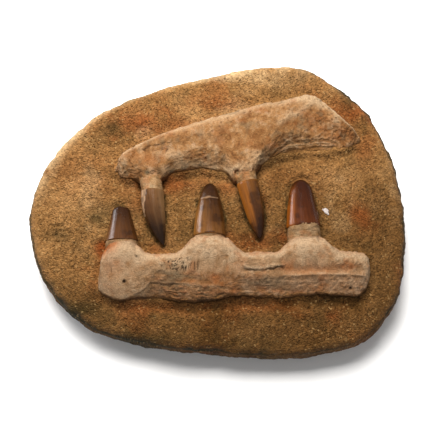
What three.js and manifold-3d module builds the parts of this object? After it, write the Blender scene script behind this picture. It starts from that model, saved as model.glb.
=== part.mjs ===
// A fossil mosasaur jaw in its rock: a rounded sandstone slab that lies flat, with a piece of the
// upper jaw (two teeth, pointing down) and a piece of the lower jaw (three teeth, pointing up)
// standing proud of it. Millimetres, +X to the right, +Y to the slab's far side, +Z up.
// The origin is under the middle of the slab's length and width, on the plane that it rests on.
import * as THREE from "three";
import { mergeVertices } from "three/addons/utils/BufferGeometryUtils.js";
import Module from "manifold-3d";

const wasm = await Module();
wasm.setup();

// Driving dimensions
const GAP = 0.3; // clearance between pieces that touch
const SLAB_THICKNESS = 39; // at the middle of the upper face
const SLAB_DOME = { halfLength: 150, halfWidth: 119, endDrop: 5, sideDrop: 4, nearDrop: 6 };
const TOP_EDGE_RADIUS = 8;
const BOTTOM_EDGE_RADIUS = 15;
const WALL_BULGE = 0.6;
const BONE_SINK = 7; // how deep the bones sit in the rock
const SOCKET_BOXINESS = 1.4; // how much boxier a bone is where it holds a tooth
const SHOULDER_HALF_WIDTH = 8; // how far in from a bone's near edge its face falls away
const DITCH = { out: 6, halfWidth: 4.2, nearDepth: 2.6, farDepth: 1 }; // dug beside each bone
const TOOTH_FLOOR = { depth: 1.6, at: [2, -8], halfLength: 82, halfWidth: 24 }; // dug between the jaws
const CROWN_KEEL = 0.05; // the cutting edges stand out by this share of a crown's half width
const ROOT_END = { lift: 0, halfThickness: 6 }; // inside the bone, above the rock's own face

// How finely the surfaces are divided
const SLAB_GRID = 34;
const BONE_RIBS = 50;
const BONE_SIDES = 15;
const CROWN_RINGS = 11;
const CROWN_SIDES = 16;
const ROOT_RINGS = 6;
const ROOT_SIDES = 14;

// The slab's widest outline, clockwise from its left end.
const SLAB_OUTLINE = [
  [-148.5, -4],
  [-140, 28.5],
  [-125, 51.5],
  [-99, 77.5],
  [-62, 95.5],
  [-15, 111],
  [36, 121.5],
  [74, 120],
  [102.5, 102],
  [126.5, 77],
  [143, 38],
  [149.5, -4],
  [149, -42],
  [139.5, -78.5],
  [116.5, -106],
  [86, -116.5],
  [45.5, -120.5],
  [-5, -117.5],
  [-61, -110],
  [-100, -96.5],
  [-127.5, -72],
  [-143, -40.5],
];

// Each rib of a bone runs from its near edge to its far edge: [near x, near y, far x, far y, height].
// The height is that of the rib's crest above the rock, and crest is how far it leans to the far edge.
// Over part of each bone the near wall leans in towards its top. shoulder is the share of the height
// that the bone loses at its near edge, dying out over SHOULDER_HALF_WIDTH.
const UPPER_JAW = {
  boxiness: 2.7,
  crest: 0.2,
  lean: { at: 76, halfLength: 28, amount: 5 },
  shoulder: 0.4,
  ribs: [
    [-78.5, 26, -79, 30, 5],
    [-75, 21, -75, 39, 10],
    [-63, 19, -64, 46.5, 12],
    [-47, 21, -47, 54, 13],
    [-29, 25, -27, 62, 14],
    [-12, 28.5, -7, 69, 14],
    [3, 25, 12, 75, 14.5],
    [20, 22, 31, 80, 14.5],
    [34, 30, 49, 84, 14],
    [50, 39, 65, 89, 14],
    [70, 42.5, 78, 91, 13.5],
    [88, 43, 93, 79, 12],
    [104, 46, 108, 64.5, 9],
    [112, 50, 115, 56, 5],
  ],
};
const LOWER_JAW = {
  boxiness: 2.5,
  crest: 0.36,
  lean: { at: 46, halfLength: 30, amount: 3 },
  shoulder: 0.3,
  ribs: [
    [-90, -70, -90, -62, 4.5],
    [-86, -74.5, -87.5, -50, 9.5],
    [-73, -78.5, -77, -43.5, 12.5],
    [-56, -77, -56, -42.5, 12],
    [-38, -78, -38, -42.5, 12],
    [-20, -80, -20, -43, 13],
    [-2, -79, 0, -44, 13.5],
    [18, -75, 18, -43.5, 13],
    [38, -76, 34, -40.5, 12.5],
    [54, -76, 52, -41.5, 13],
    [73, -74, 73, -42.5, 13],
    [92, -74, 93, -40.5, 12],
    [107, -75, 108, -40, 10.5],
    [115, -71, 117, -43, 8],
    [117, -65, 119, -53, 5],
  ],
};

// A tooth's axis runs over the rock from the crown's base to its tip, by way of a bend point, at
// the given lifts above the rock. width and thickness are half sizes at the base, and taper, blunt
// and round shape the crown, whose half width is width * (1 - taper t) * (1 - t^blunt)^round.
// The root runs from end, inside the bone, to the neck, with its half widths there and its half
// thickness at the neck. The bone's edge rises round the socket, by rise, over a half length.
const TEETH = [
  {
    name: "upper_tooth_left",
    jaw: "upper",
    base: [-50, 8.6],
    bend: [-50.5, -8.5],
    tip: [-40.5, -35.6],
    width: 8.5,
    thickness: 7.2,
    taper: -0.2,
    blunt: 2.4,
    round: 0.8,
    lift: [3.4, 1.6],
    root: { end: [-54, 31], width: 11, neck: 8.4, thickness: 7 },
    socket: { at: -50.5, rise: 5, halfLength: 12.5 },
  },
  {
    name: "upper_tooth_right",
    jaw: "upper",
    base: [24.4, 15.2],
    bend: [33.2, -18.4],
    tip: [34, -30.5],
    width: 8.1,
    thickness: 7,
    taper: 0,
    blunt: 1.9,
    round: 0.75,
    lift: [3.6, 1.8],
    root: { end: [21, 36], width: 12, neck: 8, thickness: 6.8 },
    socket: { at: 22, rise: 7.5, halfLength: 12.5 },
  },
  {
    name: "lower_tooth_left",
    jaw: "lower",
    base: [-73.2, -32.8],
    bend: [-73.6, -20.8],
    tip: [-74.5, -4.3],
    width: 12.7,
    thickness: 9,
    taper: 0.54,
    blunt: 40, // its tip is broken off flat
    round: 0.88,
    lift: [3, 2.2],
    root: { end: [-73, -54], width: 13.5, neck: 12.4, thickness: 8.8 },
    socket: { at: -74, rise: 11.2, halfLength: 17 },
  },
  {
    name: "lower_tooth_middle",
    jaw: "lower",
    base: [-4.9, -29.4],
    bend: [-5.1, -13.1],
    tip: [-4.8, 14.9],
    width: 12.1,
    thickness: 9.4,
    taper: 0,
    blunt: 1.75,
    round: 0.45,
    lift: [3.4, 2],
    root: { end: [-5, -56], width: 14, neck: 11.8, thickness: 9.2 },
    socket: { at: -4.6, rise: 15.4, halfLength: 20.8 },
  },
  {
    name: "lower_tooth_right",
    jaw: "lower",
    base: [68.2, -21.6],
    bend: [66.2, 3.6],
    tip: [67.6, 18.3],
    width: 13,
    thickness: 9.4,
    taper: 0.47,
    blunt: 9.6,
    round: 0.65,
    lift: [3.4, 2.2],
    root: { end: [69.5, -54], width: 15, neck: 12.9, thickness: 9.3 },
    socket: { at: 71, rise: 13.4, halfLength: 18.8 },
  },
];

// Hollows and ridges carved in the bones' upper faces: a Gaussian of the given depth (a ridge has a
// negative one) that runs from one point to the other, with a half width.
const UPPER_CARVING = [
  { from: [84, 60], to: [97, 54], depth: 4, halfWidth: 9 }, // spongy hollow at the broken end
  { from: [80, 88], to: [110, 59], depth: -2.2, halfWidth: 3 }, // rim along the break
  { from: [60, 82], to: [74, 86], depth: -1.4, halfWidth: 7 }, // raised far corner
  { from: [-60, 38], to: [-20, 44], depth: 1.2, halfWidth: 5 }, // shallow trough along the bone
];
const LOWER_CARVING = [
  { from: [22, -57.5], to: [112, -56], depth: 1.2, halfWidth: 3 }, // groove along the bone
  { from: [50, -61.5], to: [112, -60.5], depth: -0.7, halfWidth: 2 }, // ridge beside it
  { from: [-45, -66], to: [5, -66], depth: 1.5, halfWidth: 5 }, // shallow trough
  { from: [-76, -46], to: [-72, -44], depth: -1.6, halfWidth: 9 }, // domes over the three sockets
  { from: [-6, -42], to: [0, -42], depth: -1.8, halfWidth: 10 },
  { from: [64, -42], to: [74, -43], depth: -1.6, halfWidth: 9 },
];

// A pale fragment of shell, set in the rock beside the right tooth.
const SHELL_CHIP = { at: [86.5, -6.5], halfLength: 4.6, halfWidth: 2.6, height: 1.4, turn: -55, topShare: 0.72 };

const TAU = Math.PI * 2;
const QUARTER = Math.PI / 4;

function meshFrom(vertices, triangles) {
  return new THREE.BufferGeometry()
    .setAttribute("position", new THREE.Float32BufferAttribute(vertices.flat(), 3))
    .setIndex(triangles.flat());
}

// Skins a row of closed rings of equal length, each end closed by a fan. Rings run anticlockwise
// seen from the last ring's end.
function skin(rings) {
  const sides = rings[0].length;
  const vertices = rings.flat();
  const triangles = [];
  for (let ring = 0; ring + 1 < rings.length; ring++)
    for (let side = 0; side < sides; side++) {
      const next = (side + 1) % sides;
      const [a, b] = [ring * sides + side, ring * sides + next];
      triangles.push([a, b + sides, b], [a, a + sides, b + sides]);
    }
  for (const ring of [0, rings.length - 1]) {
    const middle = [0, 1, 2].map((k) => rings[ring].reduce((sum, p) => sum + p[k], 0) / sides);
    const hub = vertices.push(middle) - 1;
    for (let side = 0; side < sides; side++) {
      const [a, b] = [ring * sides + side, ring * sides + ((side + 1) % sides)];
      triangles.push(ring === 0 ? [a, b, hub] : [b, a, hub]);
    }
  }
  return meshFrom(vertices, triangles);
}

// The value at t (0 to 1) of a smooth curve through rows of numbers.
function alongRows(rows, t) {
  const span = rows.length - 1;
  const at = Math.min(Math.floor(t * span), span - 1);
  const f = t * span - at;
  const row = (k) => rows[Math.max(0, Math.min(span, k))];
  const [p, q, r, s] = [row(at - 1), row(at), row(at + 1), row(at + 2)];
  return q.map(
    (_, k) =>
      q[k] +
      0.5 * f * (r[k] - p[k]) +
      f * f * (p[k] - 2.5 * q[k] + 2 * r[k] - 0.5 * s[k]) +
      f * f * f * (1.5 * (q[k] - r[k]) + 0.5 * (s[k] - p[k])),
  );
}

function distanceToSegment(x, y, [ax, ay], [bx, by]) {
  const [dx, dy] = [bx - ax, by - ay];
  const f = Math.max(0, Math.min(1, ((x - ax) * dx + (y - ay) * dy) / (dx * dx + dy * dy)));
  return Math.hypot(x - ax - f * dx, y - ay - f * dy);
}

const bump = (distance, halfWidth) => Math.exp(-((distance / halfWidth) ** 2));

// The slab

// The rock's own face, before anything is dug out of it: domed, falling away to the near side,
// with slow waves.
function rockFace(x, y) {
  const [u, v] = [x / SLAB_DOME.halfLength, y / SLAB_DOME.halfWidth];
  const dome = SLAB_DOME.endDrop * u ** 2 + SLAB_DOME.sideDrop * v ** 2;
  const nearSlope = SLAB_DOME.nearDrop * Math.max(0, -v) ** 2;
  const waves =
    0.7 * Math.sin(x / 17 + y / 31) * Math.cos(y / 21 - 0.6) + 0.4 * Math.sin(x / 9 - y / 12 + 1);
  return SLAB_THICKNESS - dome - nearSlope + waves;
}

// Ditches run a few millimetres out from each bone's edges, deepest on the near side.
function ditchDepth(x, y) {
  let depth = 0;
  for (const jaw of [UPPER_JAW, LOWER_JAW])
    for (const [first, amount, side] of [
      [0, DITCH.nearDepth, -1],
      [2, DITCH.farDepth, 1],
    ]) {
      const path = jaw.ribs.map((rib) => [rib[first], rib[first + 1] + side * DITCH.out]);
      const distances = path.slice(1).map((p, k) => distanceToSegment(x, y, path[k], p));
      depth = Math.max(depth, amount * bump(Math.min(...distances), DITCH.halfWidth));
    }
  return depth;
}

function floorDepth(x, y) {
  const { depth, at, halfLength, halfWidth } = TOOTH_FLOOR;
  return depth * bump(x - at[0], halfLength) * bump(y - at[1], halfWidth);
}

const slabTop = (x, y) => rockFace(x, y) - ditchDepth(x, y) - floorDepth(x, y);

const outline = new THREE.CatmullRomCurve3(
  SLAB_OUTLINE.map(([x, y]) => new THREE.Vector3(x, y, 0)),
  true,
  "catmullrom",
  0.5,
);

function slabBody() {
  // A point of the outline, a share of the way round, moved in by some millimetres.
  const inset = (share, distance) => {
    const p = outline.getPoint(((share % 1) + 1) % 1);
    const k = 1 - distance / Math.hypot(p.x, p.y);
    return [p.x * k, p.y * k];
  };
  const n = SLAB_GRID;
  const vertices = [];
  const triangles = [];
  // Upper face: a square grid wrapped onto the outline. The outline starts at the left, clockwise.
  for (let row = 0; row <= n; row++)
    for (let column = 0; column <= n; column++) {
      const [a, b] = [(2 * column) / n - 1, (2 * row) / n - 1];
      const flat = Math.abs(a) > Math.abs(b);
      const reach = flat ? a : b;
      const angle = reach === 0 ? 0 : flat ? QUARTER * (b / a) : 2 * QUARTER - QUARTER * (a / b);
      const turned = angle + (reach < 0 ? Math.PI : 0);
      const [ox, oy] = inset(0.5 - turned / TAU, TOP_EDGE_RADIUS);
      const [x, y] = [ox * Math.abs(reach), oy * Math.abs(reach)];
      vertices.push([x, y, slabTop(x, y)]);
    }
  const cell = (row, column) => row * (n + 1) + column;
  for (let row = 0; row < n; row++)
    for (let column = 0; column < n; column++) {
      const [a, b] = [cell(row, column), cell(row, column + 1)];
      const [d, c] = [cell(row + 1, column), cell(row + 1, column + 1)];
      const rising = row < n / 2 === column < n / 2;
      triangles.push(...(rising ? [[a, b, c], [a, c, d]] : [[a, b, d], [b, c, d]]));
    }
  // Its rim, anticlockwise from the right-hand corner nearest the viewer.
  const rim = [];
  for (let k = 0; k < n; k++) rim.push(cell(k, n));
  for (let k = 0; k < n; k++) rim.push(cell(n, n - k));
  for (let k = 0; k < n; k++) rim.push(cell(n - k, 0));
  for (let k = 0; k < n; k++) rim.push(cell(0, k));
  // Edge and wall: a quarter round, the wall, and a wider quarter round down to the flat underside.
  const steps = [];
  for (const turn of [30, 60, 90]) {
    const a = THREE.MathUtils.degToRad(turn);
    steps.push([TOP_EDGE_RADIUS * (1 - Math.sin(a)), (top) => top - TOP_EDGE_RADIUS * (1 - Math.cos(a))]);
  }
  steps.push([-WALL_BULGE, (top) => (top - TOP_EDGE_RADIUS + BOTTOM_EDGE_RADIUS) / 2]);
  for (const turn of [0, 30, 60, 90]) {
    const a = THREE.MathUtils.degToRad(turn);
    steps.push([BOTTOM_EDGE_RADIUS * (1 - Math.cos(a)), () => BOTTOM_EDGE_RADIUS * (1 - Math.sin(a))]);
  }
  let above = rim;
  for (const [distance, height] of steps) {
    const ring = rim.map((start, k) => {
      const share = 0.5 - (k / rim.length - 1 / 8);
      const [x, y] = inset(share, distance);
      return vertices.push([x, y, height(vertices[start][2])]) - 1;
    });
    ring.forEach((low, k) => {
      const next = (k + 1) % ring.length;
      triangles.push([low, ring[next], above[next]], [low, above[next], above[k]]);
    });
    above = ring;
  }
  const hub = vertices.push([0, 0, 0]) - 1;
  above.forEach((corner, k) => triangles.push([above[(k + 1) % above.length], corner, hub]));
  return meshFrom(vertices, triangles);
}

// Bones

// How much of a socket's rise the bone has at x, for each tooth of the jaw: flat-topped bell curves.
function socketsAt(jaw, x) {
  const own = TEETH.filter((tooth) => tooth.jaw === jaw).map(({ socket }) => ({
    share: Math.exp(-(((x - socket.at) / socket.halfLength) ** 4)),
    rise: socket.rise,
  }));
  const rise = own.reduce((sum, socket) => sum + socket.rise * socket.share, 0);
  const share = own.reduce((sum, socket) => sum + socket.share, 0);
  return { rise, share };
}

function carvedDepth(carving, x, y) {
  return carving.reduce((sum, c) => sum + c.depth * bump(distanceToSegment(x, y, c.from, c.to), c.halfWidth), 0);
}

// Ribs follow one another along the bone, closer towards its two ends. A rib's upper side is a
// superellipse that leans to the far edge, boxier at a socket, and its lower side lies in the rock.
// The edge that carries the teeth, far in the lower jaw and near in the upper, rises at the sockets.
function boneBody(bone, jaw, carving) {
  const rings = [];
  for (let k = 0; k <= BONE_RIBS; k++) {
    const eased = 0.5 - 0.5 * Math.cos((Math.PI * k) / BONE_RIBS);
    const t = 0.35 * eased + 0.65 * (k / BONE_RIBS);
    const [nearX, nearEdge, farX, farEdge, height] = alongRows(bone.ribs, t);
    const { rise, share } = socketsAt(jaw, jaw === "lower" ? farX : nearX);
    const nearY = nearEdge - (jaw === "upper" ? rise : 0);
    const farY = farEdge + (jaw === "lower" ? rise : 0);
    const ground = rockFace((nearX + farX) / 2, (nearEdge + farEdge) / 2);
    const lean = bone.lean.amount * Math.exp(-(((nearX - bone.lean.at) / bone.lean.halfLength) ** 4));
    const across = (f) => [nearX + (farX - nearX) * f, nearY + (farY - nearY) * f];
    const boxiness = bone.boxiness + SOCKET_BOXINESS * share;
    const shoulder = bone.shoulder * (jaw === "upper" ? 1 - share : 1);
    const ring = [];
    for (let side = 0; side <= BONE_SIDES; side++) {
      const angle = (Math.PI * side) / BONE_SIDES;
      const out = Math.sign(Math.cos(angle)) * Math.abs(Math.cos(angle)) ** (2 / boxiness);
      const up = Math.sin(angle) ** (2 / boxiness);
      const f = (1 - out) / 2;
      const [x, levelY] = across(f);
      const y = levelY + lean * up * (1 - f) ** 3;
      const fall = shoulder * bump(f * Math.hypot(farX - nearX, farY - nearY), SHOULDER_HALF_WIDTH);
      const crest = height * (1 - bone.crest * out) * (1 - fall);
      ring.push([x, y, ground + up * (crest - carvedDepth(carving, x, y))]);
    }
    for (const f of [0.88, 0.5, 0.12]) ring.push([...across(f), ground - BONE_SINK]);
    rings.push(ring);
  }
  return skin(rings);
}

// Teeth

function toothAxis(tooth) {
  const [low, high] = tooth.lift;
  const over = ([x, y], lift) => new THREE.Vector3(x, y, rockFace(x, y) + lift);
  return new THREE.QuadraticBezierCurve3(
    over(tooth.base, low),
    over(tooth.bend, (low + high) / 2),
    over(tooth.tip, high),
  );
}

// A ring of a tooth round a point of its axis: an oval, with a keel at each side.
function toothRing(centre, along, halfWidth, halfThickness, sides, keel) {
  const across = new THREE.Vector3(along.y, -along.x, 0).normalize();
  const up = new THREE.Vector3().crossVectors(across, along).normalize();
  return Array.from({ length: sides }, (_, side) => {
    const angle = (TAU * side) / sides;
    const edge = 1 + keel * Math.abs(Math.cos(angle)) ** 12;
    const p = centre
      .clone()
      .addScaledVector(across, halfWidth * edge * Math.cos(angle))
      .addScaledVector(up, halfThickness * Math.sin(angle));
    return [p.x, p.y, p.z];
  });
}

function crownBody(tooth) {
  const axis = toothAxis(tooth);
  const rings = [];
  for (let k = 0; k <= CROWN_RINGS; k++) {
    const t = Math.min(0.995, Math.sin((Math.PI / 2) * (k / CROWN_RINGS))); // rings crowd to the tip
    const size = (1 - tooth.taper * t) * (1 - t ** tooth.blunt) ** tooth.round;
    const halves = [tooth.width * size, tooth.thickness * size];
    rings.push(toothRing(axis.getPoint(t), axis.getTangent(t), ...halves, CROWN_SIDES, CROWN_KEEL));
  }
  return skin(rings);
}

// The root runs from a rounded end inside the bone to the crown's base, and its last ring faces the
// crown.
function rootBody(tooth) {
  const { end, width, neck, thickness } = tooth.root;
  const axis = toothAxis(tooth);
  const facing = axis.getTangent(0);
  const near = axis.getPoint(0).addScaledVector(facing, -GAP);
  const far = new THREE.Vector3(...end, rockFace(...end) + ROOT_END.lift);
  const along = near.clone().sub(far).normalize();
  const rings = [];
  for (let k = 0; k <= ROOT_RINGS; k++) {
    const f = k / ROOT_RINGS;
    const closing = Math.sqrt(1 - 0.9 * (1 - f) ** 6);
    const halfWidth = closing * (width + (neck - width) * (1 - (1 - f) ** 2));
    const halfThickness = closing * (ROOT_END.halfThickness + (thickness - ROOT_END.halfThickness) * f);
    const turned = along.clone().lerp(facing, f ** 2).normalize();
    rings.push(toothRing(far.clone().lerp(near, f), turned, halfWidth, halfThickness, ROOT_SIDES, 0));
  }
  return skin(rings);
}

// Shell fragment

function chipBody() {
  const { at, halfLength, halfWidth, height, turn, topShare } = SHELL_CHIP;
  const chip = new THREE.CylinderGeometry(topShare, 1, 1, 7);
  chip.rotateX(Math.PI / 2);
  chip.scale(halfLength, halfWidth, height * 2);
  chip.rotateZ(THREE.MathUtils.degToRad(turn));
  chip.translate(...at, slabTop(...at));
  return chip;
}

// Joining and cutting

function merged(geometry) {
  const bare = new THREE.BufferGeometry().setAttribute("position", geometry.getAttribute("position"));
  if (geometry.index) bare.setIndex(geometry.index);
  return mergeVertices(bare, 1e-4);
}

function solid(geometry) {
  const { attributes, index } = merged(geometry);
  const mesh = { numProp: 3, vertProperties: attributes.position.array, triVerts: new Uint32Array(index.array) };
  return new wasm.Manifold(new wasm.Mesh(mesh));
}

// The solid swollen by a little more than the clearance, which cuts a seat for it in its neighbour.
function grown(geometry) {
  const swollen = merged(geometry);
  swollen.computeVertexNormals();
  const { position, normal } = swollen.attributes;
  for (let k = 0; k < position.array.length; k++) position.array[k] += normal.array[k] * GAP * 1.3;
  return solid(swollen);
}

// Cuts seats in a solid and keeps its largest piece.
function seated(body, neighbours) {
  const cut = neighbours.reduce((whole, neighbour) => whole.subtract(neighbour), body);
  return cut.decompose().sort((a, b) => b.volume() - a.volume())[0];
}

function geometryOf(manifold) {
  const mesh = manifold.getMesh();
  return new THREE.BufferGeometry()
    .setAttribute("position", new THREE.BufferAttribute(new Float32Array(mesh.vertProperties), 3))
    .setIndex(new THREE.BufferAttribute(new Uint32Array(mesh.triVerts), 1));
}

// The pieces

const ROCK = new THREE.MeshStandardMaterial({ color: 0xa87e4e, roughness: 0.95, metalness: 0 });
const BONE = new THREE.MeshStandardMaterial({ color: 0xc99f74, roughness: 0.8, metalness: 0 });
const ROOT = new THREE.MeshStandardMaterial({ color: 0xcdb08a, roughness: 0.75, metalness: 0 });
const ENAMEL = new THREE.MeshStandardMaterial({ color: 0x5e3218, roughness: 0.25, metalness: 0 });
const SHELL = new THREE.MeshStandardMaterial({ color: 0xd9cfc8, roughness: 0.5, metalness: 0 });

// Everything moves over together, so that the middle of the slab's outline stands at the origin.
const jaw = new THREE.Group();
const outlineBox = new THREE.Box3().setFromPoints(outline.getPoints(SLAB_GRID * 4));
const middle = outlineBox.getCenter(new THREE.Vector3());
jaw.position.set(-middle.x, -middle.y, 0);

function add(name, manifold, material) {
  const mesh = new THREE.Mesh(geometryOf(manifold), material);
  mesh.name = name;
  jaw.add(mesh);
}

const bones = [
  { name: "upper_jaw_bone", jaw: "upper", body: boneBody(UPPER_JAW, "upper", UPPER_CARVING) },
  { name: "lower_jaw_bone", jaw: "lower", body: boneBody(LOWER_JAW, "lower", LOWER_CARVING) },
];
const teeth = TEETH.map((tooth) => ({ ...tooth, crown: crownBody(tooth), rootShape: rootBody(tooth) }));
const chip = chipBody();

for (const tooth of teeth) {
  add(`${tooth.name}_crown`, solid(tooth.crown), ENAMEL);
  add(`${tooth.name}_root`, seated(solid(tooth.rootShape), [grown(tooth.crown)]), ROOT);
}
for (const bone of bones) {
  const own = teeth.filter((tooth) => tooth.jaw === bone.jaw);
  const seats = own.flatMap((tooth) => [grown(tooth.rootShape), grown(tooth.crown)]);
  add(bone.name, seated(solid(bone.body), seats), BONE);
}
add("shell_chip", solid(chip), SHELL);
const sunk = [...bones.map((bone) => bone.body), ...teeth.flatMap((tooth) => [tooth.rootShape, tooth.crown]), chip];
add("sandstone_slab", seated(solid(slabBody()), sunk.map(grown)), ROCK);

export default jaw;
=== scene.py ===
"""The looks of a fossil mosasaur jaw that lies in its sandstone slab.

Shapes are worked out in millimetres in the slab's own drawing: +X along the jaws, +Y to the slab's
far side, +Z up from the plane that it rests on. place() moves them into the part's frame, in metres.
"""

from itertools import product

import bpy
import numpy as np
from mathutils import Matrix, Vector


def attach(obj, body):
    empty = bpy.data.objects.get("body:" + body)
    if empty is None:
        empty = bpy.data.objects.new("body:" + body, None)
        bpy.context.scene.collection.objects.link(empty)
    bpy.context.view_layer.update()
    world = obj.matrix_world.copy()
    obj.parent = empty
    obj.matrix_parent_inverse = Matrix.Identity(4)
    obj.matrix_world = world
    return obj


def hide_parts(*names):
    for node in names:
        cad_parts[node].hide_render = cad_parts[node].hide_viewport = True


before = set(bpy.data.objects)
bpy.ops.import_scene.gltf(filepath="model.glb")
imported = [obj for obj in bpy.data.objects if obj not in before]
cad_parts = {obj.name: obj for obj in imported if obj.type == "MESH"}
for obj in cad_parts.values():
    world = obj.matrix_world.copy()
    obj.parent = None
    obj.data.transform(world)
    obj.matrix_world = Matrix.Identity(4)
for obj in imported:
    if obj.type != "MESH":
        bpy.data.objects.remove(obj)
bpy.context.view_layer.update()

TAU = 2 * np.pi

# Sizes of the slab, bones and teeth, in millimetres

SLAB_THICKNESS = 39
SLAB_HALF_LENGTH = 150
SLAB_HALF_WIDTH = 119
TOP_EDGE_RADIUS = 8
BOTTOM_EDGE_RADIUS = 15
WALL_BULGE = 0.6
BONE_SINK = 7
SLAB_OUTLINE = [
    (-148.5, -4), (-140, 28.5), (-125, 51.5), (-99, 77.5), (-62, 95.5), (-15, 111), (36, 121.5),
    (74, 120), (102.5, 102), (126.5, 77), (143, 38), (149.5, -4), (149, -42), (139.5, -78.5),
    (116.5, -106), (86, -116.5), (45.5, -120.5), (-5, -117.5), (-61, -110), (-100, -96.5),
    (-127.5, -72), (-143, -40.5),
]

# Each rib of a bone: near x, near y, far x, far y, height of its crest above the rock. crest is how
# far the rib leans to the far edge, lean how far the near wall leans in over part of the bone,
# shoulder the share of the height lost at the near edge, and edge the one that carries the teeth.
# carving is hollows and ridges: path, depth (less than 0 for a ridge), half width.
UPPER_JAW = dict(
    boxiness=2.7,
    crest=0.2,
    lean=dict(at=76, half_length=28, amount=5),
    shoulder=0.4,
    edge="near",
    ribs=[
        (-78.5, 26, -79, 30, 5), (-75, 21, -75, 39, 10), (-63, 19, -64, 46.5, 12),
        (-47, 21, -47, 54, 13), (-29, 25, -27, 62, 14), (-12, 28.5, -7, 69, 14),
        (3, 25, 12, 75, 14.5), (20, 22, 31, 80, 14.5), (34, 30, 49, 84, 14), (50, 39, 65, 89, 14),
        (70, 42.5, 78, 91, 13.5), (88, 43, 93, 79, 12), (104, 46, 108, 64.5, 9), (112, 50, 115, 56, 5),
    ],
    carving=[
        ([(84, 60), (97, 54)], 4, 9),
        ([(80, 88), (110, 59)], -2.2, 3),
        ([(60, 82), (74, 86)], -1.4, 7),
        ([(-60, 38), (-20, 44)], 1.2, 5),
    ],
)
LOWER_JAW = dict(
    boxiness=2.5,
    crest=0.36,
    lean=dict(at=46, half_length=30, amount=3),
    shoulder=0.3,
    edge="far",
    ribs=[
        (-90, -70, -90, -62, 4.5), (-86, -74.5, -87.5, -50, 9.5), (-73, -78.5, -77, -43.5, 12.5),
        (-56, -77, -56, -42.5, 12), (-38, -78, -38, -42.5, 12), (-20, -80, -20, -43, 13),
        (-2, -79, 0, -44, 13.5), (18, -75, 18, -43.5, 13), (38, -76, 34, -40.5, 12.5),
        (54, -76, 52, -41.5, 13), (73, -74, 73, -42.5, 13), (92, -74, 93, -40.5, 12),
        (107, -75, 108, -40, 10.5), (115, -71, 117, -43, 8), (117, -65, 119, -53, 5),
    ],
    carving=[
        ([(22, -57.5), (112, -56)], 1.2, 3),
        ([(50, -61.5), (112, -60.5)], -0.7, 2),
        ([(-45, -66), (5, -66)], 1.5, 5),
        ([(-76, -46), (-72, -44)], -1.6, 9),
        ([(-6, -42), (0, -42)], -1.8, 10),
        ([(64, -42), (74, -43)], -1.6, 9),
    ],
)
SOCKET_BOXINESS = 1.4
SHOULDER_HALF_WIDTH = 8

# Each tooth: the crown's axis over the rock, its half width and thickness at the base, how it
# tapers, the root inside the bone, and how the bone's edge rises round its socket.
TEETH = {
    "upper_tooth_left": dict(
        jaw=UPPER_JAW, base=(-50, 8.6), bend=(-50.5, -8.5), tip=(-40.5, -35.6),
        width=8.5, thickness=7.2, taper=-0.2, blunt=2.4, round=0.8, lift=(3.4, 1.6),
        end=(-54, 31), end_width=11, neck=8.4, neck_thickness=7, socket=(-50.5, 5, 12.5),
    ),
    "upper_tooth_right": dict(
        jaw=UPPER_JAW, base=(24.4, 15.2), bend=(33.2, -18.4), tip=(34, -30.5),
        width=8.1, thickness=7, taper=0, blunt=1.9, round=0.75, lift=(3.6, 1.8),
        end=(21, 36), end_width=12, neck=8, neck_thickness=6.8, socket=(22, 7.5, 12.5),
    ),
    "lower_tooth_left": dict(
        jaw=LOWER_JAW, base=(-73.2, -32.8), bend=(-73.6, -20.8), tip=(-74.5, -4.3),
        width=12.7, thickness=9, taper=0.54, blunt=40, round=0.88, lift=(3, 2.2),
        end=(-73, -54), end_width=13.5, neck=12.4, neck_thickness=8.8, socket=(-74, 11.2, 17),
    ),
    "lower_tooth_middle": dict(
        jaw=LOWER_JAW, base=(-4.9, -29.4), bend=(-5.1, -13.1), tip=(-4.8, 14.9),
        width=12.1, thickness=9.4, taper=0, blunt=1.75, round=0.45, lift=(3.4, 2),
        end=(-5, -56), end_width=14, neck=11.8, neck_thickness=9.2, socket=(-4.6, 15.4, 20.8),
    ),
    "lower_tooth_right": dict(
        jaw=LOWER_JAW, base=(68.2, -21.6), bend=(66.2, 3.6), tip=(67.6, 18.3),
        width=13, thickness=9.4, taper=0.47, blunt=9.6, round=0.65, lift=(3.4, 2.2),
        end=(69.5, -54), end_width=15, neck=12.9, neck_thickness=9.3, socket=(71, 13.4, 18.8),
    ),
}

# Number work


def lattice(cell, seed):
    """A repeatable random number from 0 to 1 for each whole-numbered cell (three numbers a row)."""
    n = (cell[..., 0] * 73856093) ^ (cell[..., 1] * 19349663) ^ (cell[..., 2] * 83492791)
    n = (n ^ (seed * 668265263)) & 0xFFFFFFFF
    n = ((n ^ (n >> 15)) * 1274126177) & 0xFFFFFFFF
    n = ((n ^ (n >> 13)) * 1103515245) & 0xFFFFFFFF
    return ((n ^ (n >> 16)) & 0xFFFF) / 0xFFFF


def noise(points, size, seed, octaves=1):
    """Smooth random waves of about -1 to 1: the values of a cubic lattice with cells of the given
    size, blended by a cubic ease. Each further octave is half as large and half as strong."""
    total = np.zeros(points.shape[:-1])
    for octave in range(octaves):
        p = points * (2**octave / size)
        cell = np.floor(p).astype(np.int64)
        f = p - cell
        f = f * f * (3 - 2 * f)
        value = 0
        for corner in product((0, 1), repeat=3):
            weight = np.prod(np.where(corner, f, 1 - f), axis=-1)
            value = value + weight * lattice(cell + np.array(corner), seed + octave)
        total += (2 * value - 1) / 2**octave
    return total


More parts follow.
